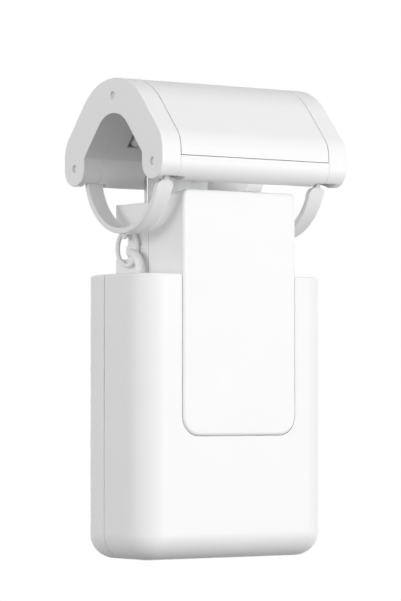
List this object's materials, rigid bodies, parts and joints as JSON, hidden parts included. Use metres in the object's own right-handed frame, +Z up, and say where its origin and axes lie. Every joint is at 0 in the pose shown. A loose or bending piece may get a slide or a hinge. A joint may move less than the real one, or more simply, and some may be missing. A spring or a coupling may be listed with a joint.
{
  "type": "smart curtain robot",
  "caption": "Battery-driven robot that hangs on a curtain rod: a roller saddle, hinged gates below the rod, and a sprung drive unit with a rubber wheel and a geared motor.",
  "frame": {"origin": "on the channel's axis, at mid length of the saddle", "axes": "+X along the channel, the front faces -Y, +Z up"},
  "size_m": [0.089, 0.0656, 0.1821],
  "materials": {
    "white_plastic": "satin moulded",
    "gate_plastic": "satin moulded",
    "roller_plastic": "smooth",
    "steel": "plated",
    "dark_plastic": "moulded",
    "motor_case": "drawn",
    "brass": "cut",
    "gear_plastic": "moulded",
    "rubber": "moulded",
    "cell_wrap": "sleeved cells",
    "board": "solder mask",
    "clear_plastic": "clear",
    "button_plastic": "satin"
  },
  "bodies": {
    "hanger": {"saddle_frame": "white_plastic", "saddle_cover": "white_plastic", "left_end_cap": "white_plastic", "right_end_cap": "white_plastic", "cap_screws": "steel", "gate_pins": "steel", "roller_axles": "steel", "spine": "steel", "spine_screws": "steel", "lift_springs": "steel"},
    "front_left_roller": {"front_left_roller": "roller_plastic"},
    "front_right_roller": {"front_right_roller": "roller_plastic"},
    "rear_left_roller": {"rear_left_roller": "roller_plastic"},
    "rear_right_roller": {"rear_right_roller": "roller_plastic"},
    "left_gate": {"left_gate": "gate_plastic"},
    "right_gate": {"right_gate": "gate_plastic"},
    "drive_unit": {"front_shell": "white_plastic", "rear_shell": "white_plastic", "front_cover": "white_plastic", "neck_rear_shell": "white_plastic", "inner_frame": "dark_plastic", "frame_screws": "steel", "shell_screws": "steel", "tow_hooks": "white_plastic", "ring_pegs": "steel", "wheel_bearings": "steel", "idler_pin": "steel", "motor": "motor_case", "battery_tray": "dark_plastic", "battery_cells": "cell_wrap", "main_board": "board", "charge_port": "steel", "button_switch": "dark_plastic", "light_pipe": "clear_plastic"},
    "drive_wheel": {"wheel_hub": "dark_plastic", "wheel_tyre": "rubber", "wheel_gear": "gear_plastic", "wheel_axle": "steel"},
    "idler": {"idler_gear": "gear_plastic"},
    "pinion": {"motor_pinion": "brass", "motor_shaft": "steel"},
    "left_tow_ring": {"left_tow_ring": "gate_plastic"},
    "right_tow_ring": {"right_tow_ring": "gate_plastic"},
    "setting_button": {"setting_button": "button_plastic"}
  },
  "joints": [
    {"name": "unit_lift", "type": "slide", "parent": "hanger", "child": "drive_unit", "axis": [0, 0, 1], "range_m": [-0.024, 0], "stiffness_N_per_m": 400, "springref_m": 0.02, "deforming": ["lift_springs"]},
    {"name": "front_left_roller_spin", "type": "hinge", "parent": "hanger", "child": "front_left_roller", "pos_m": [-0.02, -0.01483, 0.01266], "axis": [0, 0.6494, 0.7604], "continuous": true},
    {"name": "front_right_roller_spin", "type": "hinge", "parent": "hanger", "child": "front_right_roller", "pos_m": [0.02, -0.01483, 0.01266], "axis": [0, 0.6494, 0.7604], "continuous": true},
    {"name": "rear_left_roller_spin", "type": "hinge", "parent": "hanger", "child": "rear_left_roller", "pos_m": [-0.02, 0.01483, 0.01266], "axis": [0, 0.6494, -0.7604], "continuous": true},
    {"name": "rear_right_roller_spin", "type": "hinge", "parent": "hanger", "child": "rear_right_roller", "pos_m": [0.02, 0.01483, 0.01266], "axis": [0, 0.6494, -0.7604], "continuous": true},
    {"name": "left_gate_hinge", "type": "hinge", "parent": "hanger", "child": "left_gate", "pos_m": [-0.0359, 0.0261, -0.0014], "axis": [1, 0, 0], "range_deg": [0, 33]},
    {"name": "right_gate_hinge", "type": "hinge", "parent": "hanger", "child": "right_gate", "pos_m": [0.0359, 0.0261, -0.0014], "axis": [1, 0, 0], "range_deg": [0, 33]},
    {"name": "wheel_spin", "type": "hinge", "parent": "drive_unit", "child": "drive_wheel", "pos_m": [0, 0, -0.027], "axis": [0, 1, 0], "continuous": true},
    {"name": "idler_spin", "type": "hinge", "parent": "drive_unit", "child": "idler", "pos_m": [0, 0, -0.0478], "axis": [0, 1, 0], "continuous": true},
    {"name": "pinion_spin", "type": "hinge", "parent": "drive_unit", "child": "pinion", "pos_m": [0, 0, -0.0622], "axis": [0, 1, 0], "continuous": true},
    {"name": "left_ring_swing", "type": "hinge", "parent": "drive_unit", "child": "left_tow_ring", "pos_m": [-0.0283, 0.012, -0.027], "axis": [1, 0, 0], "range_deg": [-40, 40]},
    {"name": "right_ring_swing", "type": "hinge", "parent": "drive_unit", "child": "right_tow_ring", "pos_m": [0.0283, 0.012, -0.027], "axis": [1, 0, 0], "range_deg": [-40, 40]},
    {"name": "button_press", "type": "slide", "parent": "drive_unit", "child": "setting_button", "axis": [0, 0, 1], "range_m": [0, 0.0006], "stiffness_N_per_m": 300, "springref_m": -0.001}
  ],
  "couplings": [
    {"joint": "idler_spin", "follows": "wheel_spin", "ratio": -1.1667},
    {"joint": "pinion_spin", "follows": "wheel_spin", "ratio": 2.3333}
  ]
}
